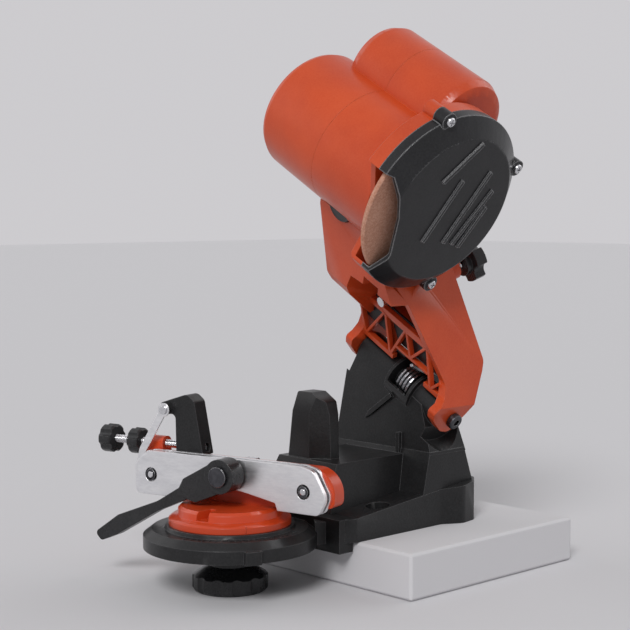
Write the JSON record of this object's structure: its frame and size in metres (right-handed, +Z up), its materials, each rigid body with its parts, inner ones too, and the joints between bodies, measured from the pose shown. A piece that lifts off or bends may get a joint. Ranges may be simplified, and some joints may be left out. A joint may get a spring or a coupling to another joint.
{
  "type": "electric chainsaw sharpener",
  "caption": "Bench-edge electric chain sharpener: orange motor head with a guarded wheel, swinging on a ribbed fork over a black base with a swivelling chain vise.",
  "frame": {"origin": "middle of the line of bench bolts, on the bench top", "axes": "+X to the user's right, +Y away from the user, +Z up"},
  "size_m": [0.2206, 0.2189, 0.3331],
  "materials": {
    "black_plastic": "satin",
    "orange_plastic": "satin",
    "orange_paint": "satin",
    "bare_plate": "satin",
    "steel": "satin",
    "dark_steel": "matte",
    "motor_steel": "matte",
    "abrasive": "matte",
    "rubber": "matte",
    "brass": "satin",
    "fan_plastic": "matte"
  },
  "bodies": {
    "base": {"base_frame": "black_plastic", "base_tower": "black_plastic", "hinge_bolt": "dark_steel", "hinge_nut": "dark_steel", "hinge_washer_right": "steel", "hinge_washer_left": "steel", "return_spring": "dark_steel"},
    "vise": {"vise_body": "orange_paint", "rear_plate": "bare_plate", "guide_pin_left": "steel", "guide_pin_right": "steel", "vise_stud": "steel", "stud_washer": "steel", "draw_bolt": "steel", "draw_nut": "steel"},
    "front_plate": {"front_plate": "bare_plate"},
    "clamp_lever": {"clamp_lever": "black_plastic"},
    "stop_carrier": {"stop_carrier": "black_plastic", "pawl_pin": "steel", "pawl_spring": "steel"},
    "chain_pawl": {"chain_pawl": "bare_plate"},
    "stop_rod": {"stop_rod": "steel", "stop_knob": "black_plastic"},
    "lock_knob": {"lock_knob": "black_plastic"},
    "clamp_knob": {"clamp_knob": "black_plastic", "knob_insert": "brass"},
    "head": {"head_frame": "orange_plastic", "fork_panel": "black_plastic", "housing_front": "orange_plastic", "end_cap": "orange_plastic", "cord_gland": "rubber", "guard_back": "orange_plastic", "guard_cover": "black_plastic", "guard_screw_top": "steel", "guard_screw_right": "steel", "guard_screw_bottom": "steel", "stator": "motor_steel", "upper_brush": "brass", "lower_brush": "brass", "rear_bearing": "steel", "front_bearing": "steel"},
    "depth_tip": {"depth_tip": "steel"},
    "depth_screw": {"depth_screw": "steel", "depth_knob": "black_plastic"},
    "power_button": {"power_button": "black_plastic"},
    "spindle": {"motor_shaft": "steel", "grinding_wheel": "abrasive", "inner_flange": "steel", "outer_flange": "steel", "spindle_nut": "steel", "rotor": "motor_steel", "commutator": "brass", "fan": "fan_plastic"}
  },
  "joints": [
    {"name": "head_swing", "type": "hinge", "parent": "base", "child": "head", "pos_m": [0.0202, 0.05, 0.08799], "axis": [0.866, 0, -0.5], "range_deg": [0, 64], "stiffness_Nm_per_rad": 1, "springref_deg": -71.62, "deforming": ["return_spring"]},
    {"name": "spindle_spin", "type": "hinge", "parent": "head", "child": "spindle", "pos_m": [0.085, 0.004, 0.20022], "axis": [0.866, 0, -0.5], "continuous": true},
    {"name": "button_press", "type": "slide", "parent": "head", "child": "power_button", "axis": [0, 1, 0], "range_m": [0, 0.002], "stiffness_N_per_m": 300, "springref_m": -0.001},
    {"name": "depth_travel", "type": "slide", "parent": "head", "child": "depth_tip", "axis": [0.1954, 0.9205, 0.3384], "range_m": [0, 0.005]},
    {"name": "depth_turn", "type": "hinge", "parent": "depth_tip", "child": "depth_screw", "pos_m": [0.03221, 0.0131, 0.13879], "axis": [0.1954, 0.9205, 0.3384], "range_deg": [0, 1440]},
    {"name": "vise_swivel", "type": "hinge", "parent": "base", "child": "vise", "pos_m": [0, -0.08, 0.012], "axis": [0, 0, 1], "range_deg": [-50, 20]},
    {"name": "clamp_knob_turn", "type": "hinge", "parent": "vise", "child": "clamp_knob", "pos_m": [0, -0.08, -0.02], "axis": [0, 0, 1], "range_deg": [-180, 180]},
    {"name": "lever_turn", "type": "hinge", "parent": "vise", "child": "clamp_lever", "pos_m": [0.00845, -0.09223, 0.042], "axis": [-0.2588, 0.9659, 0], "range_deg": [0, 30]},
    {"name": "front_plate_close", "type": "slide", "parent": "vise", "child": "front_plate", "axis": [-0.2588, 0.9659, 0], "range_m": [0, 0.0014]},
    {"name": "rod_turn", "type": "hinge", "parent": "vise", "child": "stop_rod", "pos_m": [-0.06039, -0.08645, 0.053], "axis": [0.9659, 0.2588, 0], "range_deg": [-2880, 720]},
    {"name": "carrier_slide", "type": "slide", "parent": "vise", "child": "stop_carrier", "axis": [0.9659, 0.2588, 0], "range_m": [-0.01, 0.0025]},
    {"name": "lock_knob_turn", "type": "hinge", "parent": "vise", "child": "lock_knob", "pos_m": [-0.07488, -0.09033, 0.053], "axis": [0.9659, 0.2588, 0], "range_deg": [-180, 180]},
    {"name": "pawl_flip", "type": "hinge", "parent": "stop_carrier", "child": "chain_pawl", "pos_m": [-0.04636, -0.09242, 0.075], "axis": [-0.2588, 0.9659, 0], "range_deg": [0, 269]}
  ],
  "couplings": [
    {"joint": "front_plate_close", "follows": "lever_turn", "m_per_rad": 0.0026728},
    {"joint": "rod_turn", "follows": "carrier_slide", "rad_per_m": 5026.5},
    {"joint": "depth_turn", "follows": "depth_travel", "rad_per_m": 5026.5}
  ]
}
